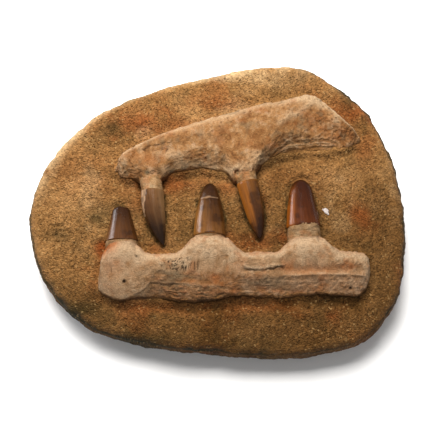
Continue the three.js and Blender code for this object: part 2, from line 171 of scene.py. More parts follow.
def strewn(x, y, size, seed):
    """One point is strewn in each square cell. Returns the distance to the nearest of them, in cells,
    and that one's random number."""
    p = np.stack([x, y], -1) / size
    base = np.floor(p).astype(np.int64)
    nearest, owner = np.full(x.shape, 9.0), np.zeros(x.shape)
    for shift in product((-1, 0, 1), repeat=2):
        cell = np.concatenate([base + np.array(shift), np.zeros(x.shape + (1,), np.int64)], -1)
        spot = cell[..., :2] + 0.1 + 0.8 * np.stack([lattice(cell, seed), lattice(cell, seed + 1)], -1)
        distance = np.linalg.norm(p - spot, axis=-1)
        closer = distance < nearest
        owner = np.where(closer, lattice(cell, seed + 2), owner)
        nearest = np.where(closer, distance, nearest)
    return nearest, owner


def bump(distance, half_width):
    """A Gaussian hill, 1 at no distance."""
    return np.exp(-((distance / half_width) ** 2))


def oval(x, y, at, half_length, half_width):
    """A Gaussian hill over an oval, 1 at its middle."""
    return bump(np.hypot((x - at[0]) / half_length, (y - at[1]) / half_width), 1)


def ease(value, low, high):
    """0 below low, 1 above high, with a smooth rise between."""
    t = np.clip((value - low) / (high - low), 0, 1)
    return t * t * (3 - 2 * t)


def to_path(x, y, path):
    """The least distance from each point to a row of straight lines."""
    nearest = np.full(np.shape(x), np.inf)
    for (ax, ay), (bx, by) in zip(path, path[1:]):
        dx, dy = bx - ax, by - ay
        f = np.clip(((x - ax) * dx + (y - ay) * dy) / (dx * dx + dy * dy), 0, 1)
        nearest = np.minimum(nearest, np.hypot(x - ax - f * dx, y - ay - f * dy))
    return nearest


def spline(rows, at, closed=False):
    """A Catmull-Rom curve through rows of numbers, at places counted in rows."""
    rows = np.array(rows, float)
    count = len(rows)
    k = np.floor(at).astype(int)
    if not closed:
        k = np.clip(k, 0, count - 2)
    f = (at - k)[..., None]
    pick = (lambda i: rows[i % count]) if closed else (lambda i: rows[np.clip(i, 0, count - 1)])
    p, q, r, s = pick(k - 1), pick(k), pick(k + 1), pick(k + 2)
    bend = f * f * (p - 2.5 * q + 2 * r - 0.5 * s)
    return q + 0.5 * f * (r - p) + bend + f**3 * (1.5 * (q - r) + 0.5 * (s - p))


def flow(grid):
    """The outward unit normals of rings (rows) of points that close round (columns)."""
    along = np.gradient(grid, axis=0)
    around = np.roll(grid, -1, axis=1) - np.roll(grid, 1, axis=1)
    normal = np.cross(along, around)
    return normal / np.maximum(np.linalg.norm(normal, axis=-1, keepdims=True), 1e-9)


# Meshes

middle = spline(SLAB_OUTLINE, np.arange(136) / 136 * len(SLAB_OUTLINE), closed=True)
middle = (middle.min(0) + middle.max(0)) / 2


def place(points):
    """Millimetres in the drawing become metres in the part's frame."""
    return (points - np.array([middle[0], middle[1], 0])) * 0.001


def add_object(name, data):
    """An object of the scene that shows a mesh, a light or a camera."""
    new = bpy.data.objects.new(name, data)
    bpy.context.scene.collection.objects.link(new)
    return new


def make_piece(name, points, faces, material, replaced=(), fields=None):
    """A smooth-shaded mesh object on the part's only body, with its number fields as attributes."""
    mesh = bpy.data.meshes.new(name)
    mesh.from_pydata(place(points).tolist(), [], faces)
    mesh.shade_smooth()
    for field, values in (fields or {}).items():
        kind = "FLOAT" if values.ndim == 1 else "FLOAT_VECTOR"
        attribute = mesh.attributes.new(field, kind, "POINT")
        part = "value" if values.ndim == 1 else "vector"
        attribute.data.foreach_set(part, values.astype(np.float32).ravel())
    mesh.materials.append(material)
    piece = add_object(name, mesh)
    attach(piece, "root")
    if replaced:
        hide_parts(*replaced)


def ring_faces(rings, sides):
    """Quads between rings of points that close round, facing outward for rings that run
    anticlockwise seen from the last ring's end."""
    ring, side = np.meshgrid(np.arange(rings - 1), np.arange(sides), indexing="ij")
    a = ring * sides + side
    b = ring * sides + (side + 1) % sides
    return np.stack([a, a + sides, b + sides, b], -1).reshape(-1, 4).tolist()


def closed_rings(grid):
    """The points and faces of rings skinned into a closed form, each end drawn to a hub."""
    rings, sides = grid.shape[:2]
    points = np.concatenate([grid.reshape(-1, 3), grid[0].mean(0)[None], grid[-1].mean(0)[None]])
    faces = ring_faces(rings, sides)
    first, last = rings * sides, rings * sides + 1
    top = (rings - 1) * sides
    for side in range(sides):
        following = (side + 1) % sides
        faces.append([side, following, first])
        faces.append([top + following, top + side, last])
    return points, faces


def limited(**fields):
    """Number fields of a mesh, kept between 0 and 1."""
    return {name: np.clip(values, 0, 1) for name, values in fields.items()}


def with_hubs(values):
    """A field over rings, with the two hubs' values added."""
    flat = values.reshape(-1, *values.shape[2:])
    return np.concatenate([flat, values[0].mean(0)[None], values[-1].mean(0)[None]])


def over_rings(grain, **fields):
    """Number fields over rings, with the hubs' values, and the directions that fibres follow."""
    fields = {name: with_hubs(values) for name, values in limited(**fields).items()}
    fields["grain"] = with_hubs(grain) * 0.001
    return fields


def make_rings(name, grid, material, replaced, fields=None):
    points, faces = closed_rings(grid)
    make_piece(name, points, faces, material, [replaced], fields)


# Materials


def colour(code):
    """An sRGB hex colour as linear red, green, blue and alpha."""
    parts = np.array([int(code[i : i + 2], 16) / 255 for i in (1, 3, 5)])
    linear = np.where(parts <= 0.04045, parts / 12.92, ((parts + 0.055) / 1.055) ** 2.4)
    return (*linear.tolist(), 1)


def node(tree, kind, inputs=None, out=0, stops=None, **settings):
    """Adds a node, sets its settings, ramp stops (colour codes or greys) and inputs (values, or
    sockets to link), and returns one of its outputs."""
    new = tree.nodes.new(kind)
    for key, value in settings.items():
        setattr(new, key, value)
    if stops:
        elements = new.color_ramp.elements
        while len(elements) < len(stops):
            elements.new(1)
        for element, (position, shade) in zip(elements, stops):
            element.position = position
            element.color = colour(shade) if isinstance(shade, str) else (shade, shade, shade, 1)
    for key, value in (inputs or {}).items():
        if isinstance(value, bpy.types.NodeSocket):
            tree.links.new(value, new.inputs[key])
        else:
            new.inputs[key].default_value = value
    return new.outputs[out] if len(new.outputs) else new


def new_material(name):
    """A material with an empty node tree."""
    material = bpy.data.materials.new(name)
    material.use_nodes = True
    material.node_tree.nodes.clear()
    return material, material.node_tree


def finish_material(tree, base, normal, roughness, **sockets):
    """The surface shader and the output. Whatever is the same all over is set on its socket."""
    inputs = {"Base Color": base, "Normal": normal, "Roughness": roughness}
    inputs.update({key.replace("_", " "): value for key, value in sockets.items()})
    shader = node(tree, "ShaderNodeBsdfPrincipled", inputs)
    node(tree, "ShaderNodeOutputMaterial", {"Surface": shader})


def mm(size):
    """A texture scale whose cells are the given number of millimetres."""
    return 1000 / size


def field(tree, name, out=2):
    """A number field of the mesh, or, for out 1, a vector field."""
    return node(tree, "ShaderNodeAttribute", attribute_name=name, out=out)


def calculate(tree, operation, *values):
    return node(tree, "ShaderNodeMath", dict(enumerate(values)), operation=operation)


def cells(tree, on, size, out):
    """Cells about so many millimetres wide: their random colours (out 1), or distances (out 0)."""
    return node(tree, "ShaderNodeTexVoronoi", {"Vector": on, "Scale": mm(size)}, out=out)


def texture(tree, on, size, detail, roughness=0.5):
    """Fractal noise with cells of the given number of millimetres."""
    inputs = {"Vector": on, "Scale": mm(size), "Detail": detail, "Roughness": roughness}
    return node(tree, "ShaderNodeTexNoise", inputs)


def ramp(tree, value, *stops):
    """A number turned into a shade."""
    return node(tree, "ShaderNodeValToRGB", {"Fac": value}, stops=stops)


def mix(tree, share, under, over, blend="MIX"):
    """A share of one colour laid over another."""
    inputs = {0: share, 6: under, 7: over}
    return node(tree, "ShaderNodeMix", inputs, out=2, data_type="RGBA", blend_type=blend)


def stained(tree, shade, **codes):
    """Colours laid one over another, each as thickly as the mesh's number field of its name says."""
    for name, code in codes.items():
        shade = mix(tree, field(tree, name), shade, colour(code))
    return shade


def relief(tree, height, strength, distance):
    """Bumps too fine for the mesh, over a distance in metres."""
    return node(tree, "ShaderNodeBump", {"Strength": strength, "Distance": distance, "Height": height})


def rock_material():
    """Rust-stained, weakly cemented sandstone, scraped by hand: matt, with grains of about a
    millimetre, some pale quartz, some dark. The real grit is finer than the picture can show."""
    material, tree = new_material("iron_stained_sandstone_scraped")
    place_on = node(tree, "ShaderNodeTexCoord", out=3)
    slow = texture(tree, place_on, 42, 5.0, 0.62)
    ground = ramp(tree, slow, (0.3, "#694A28"), (0.5, "#7F5B34"), (0.68, "#8F6B42"))
    # Besides their own colours, the darker and greenish stains carry painted shade, and the pale stain a
    # painted highlight on the far-left rim.
    stains = stained(tree, ground, brown="#4C3216", rust="#6E3817", olive="#2E2713", pale="#B3966E")
    grain_shade = node(tree, "ShaderNodeSeparateColor", {"Color": cells(tree, place_on, 1.25, out=1)})
    speckle = ramp(tree, grain_shade, (0.0, 0.56), (0.3, 0.88), (0.7, 1.08), (1.0, 1.45))
    mottled = mix(tree, 0.9, stains, speckle, "MULTIPLY")
    quartz_share = node(tree, "ShaderNodeMapRange", {0: grain_shade, 1: 0.955, 2: 0.985, 4: 0.55})
    grained = mix(tree, quartz_share, mottled, colour("#8A7049"))
    fine = texture(tree, place_on, 0.9, 3.0, 0.65)
    height = calculate(tree, "SUBTRACT", fine, cells(tree, place_on, 1.15, out=0))
    normal = relief(tree, height, 0.8, 0.0012)
    finish_material(tree, grained, normal, 0.92, IOR=1.5, Specular_IOR_Level=0.25)
    return material


def bone_material(name, shades, rust_code, pale_code, fibre_share):
    """Phosphatised bone, cleaned with a needle: matt to satin, tan and cream in patches, with iron
    stains in the pores and a fine fibre along the bone."""
    material, tree = new_material(name)
    place_on = node(tree, "ShaderNodeTexCoord", out=3)
    grain = field(tree, "grain", out=1)
    patchy = texture(tree, place_on, 9, 8.0, 0.72)
    body = ramp(tree, patchy, *zip((0.3, 0.44, 0.55, 0.68), shades))
    fibre = texture(tree, grain, 1.8, 4.0, 0.7)
    fibre_shade = ramp(tree, fibre, (0.3, 0.78), (0.5, 1.0), (0.72, 1.16))
    fibred = mix(tree, fibre_share, body, fibre_shade, "MULTIPLY")
    # The pale and dark fields of the bones also carry painted highlights and painted shade from their
    # relief.
    stains = {"pale": pale_code, "rust": rust_code, "grey": "#5A4D39", "sandy": "#75502A", "dark": "#26160A"}
    shade = stained(tree, fibred, **stains)
    specks = texture(tree, place_on, 1.1, 3.0, 0.7)
    speck_shade = ramp(tree, specks, (0.32, 0.58), (0.5, 1.0), (0.68, 1.34))
    speckled = mix(tree, 0.7, shade, speck_shade, "MULTIPLY")
    height = calculate(tree, "MULTIPLY_ADD", fibre, 0.9 * fibre_share, specks)
    normal = relief(tree, height, 0.9, 0.0011)
    finish_material(tree, speckled, normal, 0.75, IOR=1.55, Specular_IOR_Level=0.3)
    return material


def enamel_material(name, base, middle_shade, tip, amber):
    """Fossil enamel, stained by iron and manganese: hard and glossy, with fine striae along the
    crown and a colour that deepens to the tip."""
    material, tree = new_material(name)
    grain = field(tree, "grain", out=1)
    place_on = node(tree, "ShaderNodeTexCoord", out=3)
    patchy = texture(tree, place_on, 9, 4.0)
    climb = calculate(tree, "SUBTRACT", patchy, 0.5)
    height_on = calculate(tree, "MULTIPLY_ADD", climb, 0.5, field(tree, "height"))
    body = ramp(tree, height_on, (0.02, base), (0.35, middle_shade), (0.85, tip))
    ambered = stained(tree, body, amber=amber)
    striae = texture(tree, grain, 1.1, 3.0, 0.6)
    striae_shade = ramp(tree, striae, (0.3, 0.72), (0.5, 1.0), (0.7, 1.25))
    striped = mix(tree, 0.8, ambered, striae_shade, "MULTIPLY")
    worn = stained(tree, striped, bare="#937457", dark="#170A05")
    normal = relief(tree, striae, 0.22, 0.0003)
    roughness = node(tree, "ShaderNodeMapRange", {0: field(tree, "bare"), 3: 0.24, 4: 0.6})
    finish_material(tree, worn, normal, roughness, IOR=1.62, Specular_IOR_Level=0.3)
    return material


def shell_material():
    """Calcite shell, worn: pale lilac white with a satin sheen."""
    material, tree = new_material("worn_calcite_shell")
    bands = texture(tree, node(tree, "ShaderNodeTexCoord", out=3), 1.4, 2.0)
    shade = ramp(tree, bands, (0.3, "#8C7F78"), (0.7, "#ADA5A1"))
    finish_material(tree, shade, relief(tree, bands, 0.3, 0.0003), 0.45, IOR=1.6)
    return material


# Slab


def rock_face(x, y):
    """The rock's own face: thickness less a dome, a fall to the near side, and slow sine waves."""
    u, v = x / SLAB_HALF_LENGTH, y / SLAB_HALF_WIDTH
    waves = 0.7 * np.sin(x / 17 + y / 31) * np.cos(y / 21 - 0.6) + 0.4 * np.sin(x / 9 - y / 12 + 1)
    return SLAB_THICKNESS - 5 * u**2 - 4 * v**2 - 6 * np.maximum(0, -v) ** 2 + waves


def sand_bank(x, y):
    """Sand left against the bones' walls: Gaussian banks along their edges, 0.8 mm high on the near
    side and 1.2 mm on the far."""
    height = np.zeros(np.shape(x))
    for jaw in (UPPER_JAW, LOWER_JAW):
        for first, side, amount in ((0, "near", 0.8), (2, "far", 1.2)):
            path_x = np.linspace(jaw["ribs"][0][first] + 2, jaw["ribs"][-1][first] - 2, 36)
            edge_x, edge_y = np.array(jaw["ribs"], float).T[[first, first + 1]]
            path_y = np.interp(path_x, edge_x, edge_y)
            rise = sockets_at(jaw, path_x)[0] * (jaw["edge"] == side)
            path_y = path_y + rise * (1 if side == "far" else -1)
            height = np.maximum(height, amount * bump(to_path(x, y, [*zip(path_x, path_y)]), 2.8))
    return height


def ditch_depth(x, y):
    """Ditches 6 mm out from the bones' edges, 2.6 mm deep on the near side and 1 mm on the far."""
    depth = np.zeros(np.shape(x))
    for jaw in (UPPER_JAW, LOWER_JAW):
        for first, amount, side in ((0, 2.6, -1), (2, 1, 1)):
            path = [(rib[first], rib[first + 1] + side * 6) for rib in jaw["ribs"]]
            depth = np.maximum(depth, amount * bump(to_path(x, y, path), 4.2))
    return depth


def tooth_axis(tooth, t):
    """A quadratic curve from the crown's base over its bend to its tip, lifted above the rock."""
    low, high = tooth["lift"]
    ends = [(*tooth["base"], low), (*tooth["bend"], (low + high) / 2), (*tooth["tip"], high)]
    a, b, c = [np.array([x, y, rock_face(x, y) + lift]) for x, y, lift in ends]
    t = t[..., None]
    return (1 - t) ** 2 * a + 2 * t * (1 - t) * b + t * t * c, 2 * (1 - t) * (b - a) + 2 * t * (c - b)


def crown_share(tooth, t):
    """The crown's half width as a share of that at its base: a taper times a rounded tip."""
    return (1 - tooth["taper"] * t) * np.maximum(0, 1 - t ** tooth["blunt"]) ** tooth["round"]


def beside_teeth(x, y):
    """How far each point lies outside the nearest crown's or neck's outline, seen from above."""
    nearest = np.full(np.shape(x), 99.0)
    for tooth in TEETH.values():
        t = np.linspace(0, 0.99, 34)
        centres = tooth_axis(tooth, t)[0]
        halves = tooth["width"] * crown_share(tooth, t)
        root = [(*tooth["base"], tooth["neck"]), (*tooth["end"], tooth["end_width"])]
        spots = [*zip(centres[:, 0], centres[:, 1], halves)]
        spots += [tuple(np.array(root[0]) * (1 - f) + np.array(root[1]) * f) for f in (0.15, 0.35, 0.55)]
        for cx, cy, half in spots:
            nearest = np.minimum(nearest, np.hypot(x - cx, y - cy) - half)
    return nearest


# Stains of the rock, and painted shade along the near rim: place, half length and half width of each patch,
# and its strength.
RUST_PATCHES = [
    ((-62, 68), 26, 12, 0.6), ((-28, 66), 30, 9, 0.5), ((10, 84), 24, 7, 0.35), ((105, 80), 20, 16, 0.7),
    ((120, 48), 9, 16, 0.45), ((113, -10), 9, 9, 0.7), ((-32, 15), 26, 8, 0.7), ((8, 12), 14, 7, 0.5),
    ((30, -33), 20, 7, 0.6), ((52, -27), 8, 7, 0.5), ((-46, -38), 10, 6, 0.5), ((-89, -35), 7, 8, 1.0),
    ((35, -83), 34, 5, 0.45), ((-45, -84), 26, 5, 0.4), ((-100, 25), 30, 25, 0.25), ((60, 20), 40, 10, 0.2),
]
# The last three patches lie along the near and left rim: painted shade there, not stains.
OLIVE_AND_SHADE_PATCHES = [
    ((-91, -10), 13, 7, 0.6), ((-84, 64), 12, 9, 0.4), ((109, 90), 7, 9, 0.7), ((-124, -25), 8, 8, 0.5),
    ((84, -80), 16, 12, 0.3), ((-112, -86), 30, 9, 0.9), ((-60, -108), 40, 6, 0.7),
    ((-10, -112), 60, 6, 0.4),
]


def patches(x, y, rows, points, seed):
    """Soft patches whose edges are broken up by noise."""
    ragged = 1 + 0.55 * noise(points, 9, seed, 3)
    total = np.zeros(np.shape(x))
    for (px, py), half_length, half_width, strength in rows:
        far = np.hypot((x - px) / half_length, (y - py) / half_width)
        total = np.maximum(total, strength * bump(far * ragged, 1))
    return total


SLAB_GRID = 264
ROUND_RINGS = 8
WALL_RINGS = 7
SMALL_PITS = [
    (78, -67), (84, -76), (81, -80), (72, -84), (68, -93), (87, -71), (-98, 4), (-112, -52),
    (-124, -18), (-120.5, -18.5), (-127, -22), (-122, -22.3), (-130.5, -26), (-127.5, -27),
    (-119.6, -27.5), (-124, -31.5), (-117, -22), (-125.5, -24.5),
]


def slab_edge(share, inset):
    """Points of the outline, a share of the way round, moved in by some millimetres."""
    edge = spline(SLAB_OUTLINE, (share % 1) * len(SLAB_OUTLINE), closed=True)
    return edge * (1 - inset / np.linalg.norm(edge, axis=-1))[..., None]


def slab_side(share, rim_z):
    """Rings below the rim: a quarter round, the wall and a wider quarter round, all roughened."""
    turns = np.radians(np.linspace(0, 90, ROUND_RINGS + 1)[1:])
    top, low = TOP_EDGE_RADIUS, BOTTOM_EDGE_RADIUS
    high = rim_z - top
    rings = [(top * (1 - np.sin(t)), rim_z - top * (1 - np.cos(t)), np.sin(t)) for t in turns]
    for f in np.linspace(0, 1, WALL_RINGS + 1)[1:]:
        rings.append((-WALL_BULGE * np.sin(np.pi * f), high + (low - high) * f, 1.0))
    rings += [(low * (1 - np.cos(t)), low * (1 - np.sin(t)) + 0 * rim_z, np.cos(t)) for t in turns]
    side = np.stack([np.concatenate([slab_edge(share, inset), z[:, None]], -1) for inset, z, _ in rings])
    outward = np.array([ring[2] for ring in rings])[:, None, None]
    away = side[..., :2] / np.linalg.norm(side[..., :2], axis=-1, keepdims=True)
    rough = 0.9 * noise(side, 14, 31, 3) + 0.7 * noise(side * (1, 1, 2.2), 5, 37, 2) - 0.9
    rough *= ease(side[..., 2], 0, 4) * ease(np.arange(len(side))[:, None], -1, 4)
    side[..., :2] += away * rough[..., None] * outward
    rise = rough * np.sqrt(1 - outward[..., 0] ** 2) * (side[..., 2] > low + 1)
    side[..., 2] = np.maximum(0, side[..., 2] + rise)
    return side


def slab_surface():
    """The upper face is a square grid wrapped onto the outline. Below its rim come the side's rings,
    and the flat underside is drawn to a hub."""
    n = SLAB_GRID
    step = np.linspace(-1, 1, n + 1)
    b, a = np.meshgrid(step, step, indexing="ij")
    flat = np.abs(a) > np.abs(b)
    reach = np.where(flat, a, b)
    safe = np.where(reach == 0, 1, reach)
    angle = np.where(flat, np.pi / 4 * b / safe, np.pi / 2 - np.pi / 4 * a / safe)
    angle = np.where(reach == 0, 0, angle) + np.where(reach < 0, np.pi, 0)
    top_xy = slab_edge(0.5 - angle / TAU, TOP_EDGE_RADIUS) * np.abs(reach)[..., None]
    top_z = slab_top(top_xy[..., 0], top_xy[..., 1])
    top = np.concatenate([top_xy, top_z[..., None]], -1).reshape(-1, 3)
    index = np.arange((n + 1) ** 2).reshape(n + 1, n + 1)
    corner = index[:-1, :-1]
    faces = np.stack([corner, corner + 1, corner + n + 2, corner + n + 1], -1).reshape(-1, 4).tolist()
    above = np.concatenate([index[:-1, n], index[n, :0:-1], index[:0:-1, 0], index[0, :-1]])
    count = len(above)
    share = 0.5 - (np.arange(count) / count - 1 / 8)
    side = slab_side(share, rock_face(top[above, 0], top[above, 1]))
    points = np.concatenate([top, side.reshape(-1, 3), [[0, 0, 0]]])
    after = np.roll(np.arange(count), -1)
    for ring in range(len(side)):
        low = len(top) + ring * count + np.arange(count)
        faces += np.stack([low, low[after], above[after], above], -1).tolist()
        above = low
    faces += np.stack([above[after], above, np.full(count, len(points) - 1)], -1).tolist()
    return points, faces


def slab_top(x, y):
    """The dug face: ditches beside the bones, a sunk floor and a crevice by the teeth, then lumps,
    scraped hollows, pits and grain."""
    flat = np.stack([x, y, np.zeros(x.shape)], -1)
    z = rock_face(x, y) - ditch_depth(x, y) * (1 + 0.25 * noise(flat, 7, 3, 2))
    z -= 1.6 * bump(x - 2, 82) * bump(y + 8, 24)
    beside = beside_teeth(x, y)
    z += sand_bank(x, y) * (1 + 0.35 * noise(flat, 4, 91, 3)) * ease(beside, 0, 3)
    z -= 1.9 * bump(np.maximum(beside, 0), 2.6) * (1 + 0.4 * noise(flat, 5, 5, 2))
    edge = ease(np.hypot(x / SLAB_HALF_LENGTH, y / SLAB_HALF_WIDTH), 1.02, 0.88)
    z += edge * (0.45 * noise(flat, 24, 7, 2) + 0.3 * noise(flat, 7, 11, 2) + 0.3 * noise(flat, 2.6, 13, 1))
    nearest, owner = strewn(x, y, 6, 19)
    z -= 1.0 * (owner > 0.8) * bump(nearest, 0.1 + 0.1 * owner)
    ragged = 0.5 * noise(flat, 2.5, 23, 2)
    for px, py in SMALL_PITS:
        z -= 2.0 * bump(np.hypot(x - px, y - py) + ragged, 1.25)
    return z


def rock_fields(points):
    """Stains and shades of the rock by place, from 0 to 1, with painted shade and a painted highlight among
    them.
    """
    x, y, z = points.T
    flat = points * (1, 1, 0.6)
    rust = patches(x, y, RUST_PATCHES, flat, 41) + 0.3 * ease(noise(flat, 30, 43, 4), 0.15, 0.9)
    olive = patches(x, y, OLIVE_AND_SHADE_PATCHES, flat, 47) + 0.25 * ease(noise(flat, 12, 53, 3), 0.25, 0.9)
    # Painted shade: darker in the pits and in the crevices by the teeth.
    pitted = np.maximum(0, rock_face(x, y) - ditch_depth(x, y) - z - 1.7)
    olive += 0.8 * ease(pitted, 0.4, 1.6) * (z > 25)
    # Painted shade: the walls are painted darker, most on the near left side.
    wall = ease(rock_face(x, y) - z, 5, 14)
    olive += wall * (0.3 * ease(-y - 0.5 * x, -10, 90)) * (1 + 0.4 * noise(points, 9, 59, 2))
    # Painted highlight: a pale band on the far-left rim, where the bevel faces the light; the pale noise
    # patches are the rock's own.
    rim = 0.9 * ease(np.hypot(x / SLAB_HALF_LENGTH, y / SLAB_HALF_WIDTH), 0.85, 0.94)
    rim *= ease(y - 0.5 * x, 60, 120)
    pale = 0.15 * ease(noise(flat, 20, 61, 3), 0.3, 0.9) * ease(y, -60, 0)
    pale += rim * ease(noise(flat, 9, 67, 3), -1.2, 0.2)
    # Painted shade: the rock is painted darker towards the near side and the right, and in the sunk floor
    # between the jaws; the slow noise is a tone of its own.
    brown = 0.74 * ease(0.4 * x - y, -30, 110) + 0.25 * ease(noise(flat, 26, 69, 4), 0, 0.9)
    brown += 0.35 * bump(x, 80) * bump(y + 8, 24)
    return limited(rust=rust, olive=olive, pale=pale, brown=brown)


def make_slab(material):
    points, faces = slab_surface()
    make_piece("rock_slab", points, faces, material, ["sandstone_slab"], rock_fields(points))


def over_bones(x, y):
    """Whether each point lies over a bone or less than 1 mm from its edge."""
    over = np.zeros(np.shape(x), bool)
    for jaw in (UPPER_JAW, LOWER_JAW):
        near_x, near_y, far_x, far_y, _ = np.array(jaw["ribs"], float).T
        rise = sockets_at(jaw, x)[0]
        near = np.interp(x, near_x, near_y) - rise * (jaw["edge"] == "near") - 1
        far = np.interp(x, far_x, far_y) + rise * (jaw["edge"] == "far") + 1
        over |= (x > near_x[0] - 3) & (x < far_x[-1] + 3) & (y > near) & (y < far)
    return over


GOLDEN = (1 + 5**0.5) / 2
GRAIN_SIDES = np.array([
    (0, 11, 5), (0, 5, 1), (0, 1, 7), (0, 7, 10), (0, 10, 11), (1, 5, 9), (5, 11, 4), (11, 10, 2),
    (10, 7, 6), (7, 1, 8), (3, 9, 4), (3, 4, 2), (3, 2, 6), (3, 6, 8), (3, 8, 9), (4, 9, 5),
    (2, 4, 11), (6, 2, 10), (8, 6, 7), (9, 8, 1),
])
GRAINS_TRIED = 15000
GRAINS_KEPT = 9900


def make_grains(name, material, low, high, seed):
    """Grains on the dug face, from one x to another: icosahedra of 0.3 to 0.7 mm, half sunk, each
    turned and stretched its own way."""
    random = np.random.default_rng(seed)
    x, y = random.uniform(low, high, GRAINS_TRIED), random.uniform(-116, 118, GRAINS_TRIED)
    reach = spline(SLAB_OUTLINE, np.arange(400) / 400 * len(SLAB_OUTLINE), closed=True)
    turn = np.arctan2(reach[:, 1], reach[:, 0])
    order = np.argsort(turn)
    limit = np.interp(np.arctan2(y, x), turn[order], np.hypot(*reach[order].T), period=TAU)
    bare = (np.hypot(x, y) < limit - TOP_EDGE_RADIUS) & ~over_bones(x, y) & (beside_teeth(x, y) > 0.8)
    x, y = x[bare][:GRAINS_KEPT], y[bare][:GRAINS_KEPT]
    count = len(x)
    radius = random.uniform(0.28, 0.68, count)
    angle = random.uniform(0, TAU, count)
    stretch = random.uniform(0.7, 1.2, (count, 3))
    first = np.array([(-1, GOLDEN, 0), (1, GOLDEN, 0), (-1, -GOLDEN, 0), (1, -GOLDEN, 0)])
    corners = np.concatenate([np.roll(first, k, axis=1) for k in range(3)]) / np.hypot(1, GOLDEN)
    across, along, up = np.moveaxis(corners[None] * stretch[:, None], -1, 0)
    c, s = np.cos(angle)[:, None], np.sin(angle)[:, None]
    turned = np.stack([across * c - along * s, across * s + along * c, up], -1)
    centres = np.stack([x, y, slab_top(x, y) + 0.15 * radius], -1)
    points = (centres[:, None] + turned * radius[:, None, None]).reshape(-1, 3)
    faces = (GRAIN_SIDES[None] + 12 * np.arange(count)[:, None, None]).reshape(-1, 3).tolist()
    fields = {key: np.repeat(values, 12) for key, values in rock_fields(centres).items()}
    make_piece(name, points, faces, material, fields=fields)


# Bones


def sockets_at(jaw, x):
    """How far the jaw's edge rises at its teeth's sockets, and the share of a full socket: sums of
    flat-topped bell curves."""
    rise, share = np.zeros(np.shape(x)), np.zeros(np.shape(x))
    for tooth in TEETH.values():
        if tooth["jaw"] is jaw:
            at, amount, half_length = tooth["socket"]
            bell = np.exp(-(((x - at) / half_length) ** 4))
            rise, share = rise + amount * bell, share + bell
    return rise, share


def lowered_to_teeth(jaw, x, y, z, to_edge):
    """Near its edge the bone comes down to lie on the tops of its roots, which are half ovals."""
    for tooth in TEETH.values():
        if tooth["jaw"] is not jaw:
            continue
        (bx, by), (ex, ey) = tooth["base"], tooth["end"]
        f = np.clip((y - ey) / (by - ey), 0, 1.2)
        aside = (x - ex - (bx - ex) * f) / tooth["neck"]
        axis = rock_face(ex, ey) * (1 - f) + (rock_face(bx, by) + tooth["lift"][0]) * f
        top = axis + tooth["neck_thickness"] * np.sqrt(np.clip(1 - aside**2, 0.01, 1)) + 0.4
        share = ease(to_edge, 10, 1) * ease(np.abs(aside), 1.15, 0.85)
        z = z + share * (np.minimum(z, top) - z)
    return z


def bone_surface(jaw, rows=430, sides=136):
    """Ribs are carried along the bone. A rib's upper side is a superellipse leaning to the far edge,
    less what is carved out, and its lower side lies in the rock. Both ends are rounded off."""
    k = np.linspace(0, 1, rows)
    t = 0.35 * (0.5 - 0.5 * np.cos(np.pi * k)) + 0.65 * k
    near_x, near_edge, far_x, far_edge, height = spline(jaw["ribs"], t * (len(jaw["ribs"]) - 1)).T
    rise, share = sockets_at(jaw, far_x if jaw["edge"] == "far" else near_x)
    ragged = np.stack([near_x, near_edge, np.zeros(rows)], -1)
    near_y = near_edge - rise * (jaw["edge"] == "near") + 0.6 * noise(ragged, 6, 71, 4)
    far_y = far_edge + rise * (jaw["edge"] == "far") + 0.5 * noise(ragged, 5, 73, 4)
    ground = rock_face((near_x + far_x) / 2, (near_edge + far_edge) / 2)
    lean = jaw["lean"]
    lean = lean["amount"] * np.exp(-(((near_x - lean["at"]) / lean["half_length"]) ** 4))
    angle = np.linspace(0, np.pi, sides)
    power = 2 / (jaw["boxiness"] + SOCKET_BOXINESS * share[:, None])
    out = np.sign(np.cos(angle)) * np.abs(np.cos(angle)) ** power
    up = np.clip(np.sin(angle), 0, 1) ** power
    f = (1 - out) / 2
    x = near_x[:, None] + (far_x - near_x)[:, None] * f
    y = near_y[:, None] + (far_y - near_y)[:, None] * f + lean[:, None] * up * (1 - f) ** 3
    carved = sum(depth * bump(to_path(x, y, path), half) for path, depth, half in jaw["carving"])
    width = np.hypot(far_x - near_x, far_y - near_y)[:, None]
    shoulder = jaw["shoulder"] * (1 - share * (jaw["edge"] == "near"))[:, None]
    full_height = height[:, None] * (1 - shoulder * bump(f * width, SHOULDER_HALF_WIDTH))
    z = ground[:, None] + up * (full_height * (1 - jaw["crest"] * out) - carved)
    to_edge = width * (f if jaw["edge"] == "near" else 1 - f)
    z = lowered_to_teeth(jaw, x, y, z, to_edge)
    under_f = np.array([0.94, 0.8, 0.5, 0.2, 0.06])
    under_x = near_x[:, None] + (far_x - near_x)[:, None] * under_f
    under_y = near_y[:, None] + (far_y - near_y)[:, None] * under_f
    under_z = np.broadcast_to(ground[:, None] - BONE_SINK * np.array([0.7, 1, 1, 1, 0.7]), under_x.shape)
    grid = np.concatenate([np.stack([x, y, z], -1), np.stack([under_x, under_y, under_z], -1)], 1)
    up = np.concatenate([up, np.zeros((rows, 5))], 1)
    caps = []
    for end, ahead in ((grid[0], grid[0] - grid[4]), (grid[-1], grid[-1] - grid[-5])):
        centre = end.mean(0)
        lean = ahead.mean(0) / np.linalg.norm(ahead.mean(0))
        turns = np.radians(np.linspace(0, 84, 10)[1:])
        caps.append(np.array([centre + (end - centre) * np.cos(a) + lean * 2.4 * np.sin(a) for a in turns]))
    grid = np.concatenate([caps[0][::-1], grid, caps[1]])
    up = np.concatenate([np.repeat(up[:1], 9, 0), up, np.repeat(up[-1:], 9, 0)])
    return grid, up


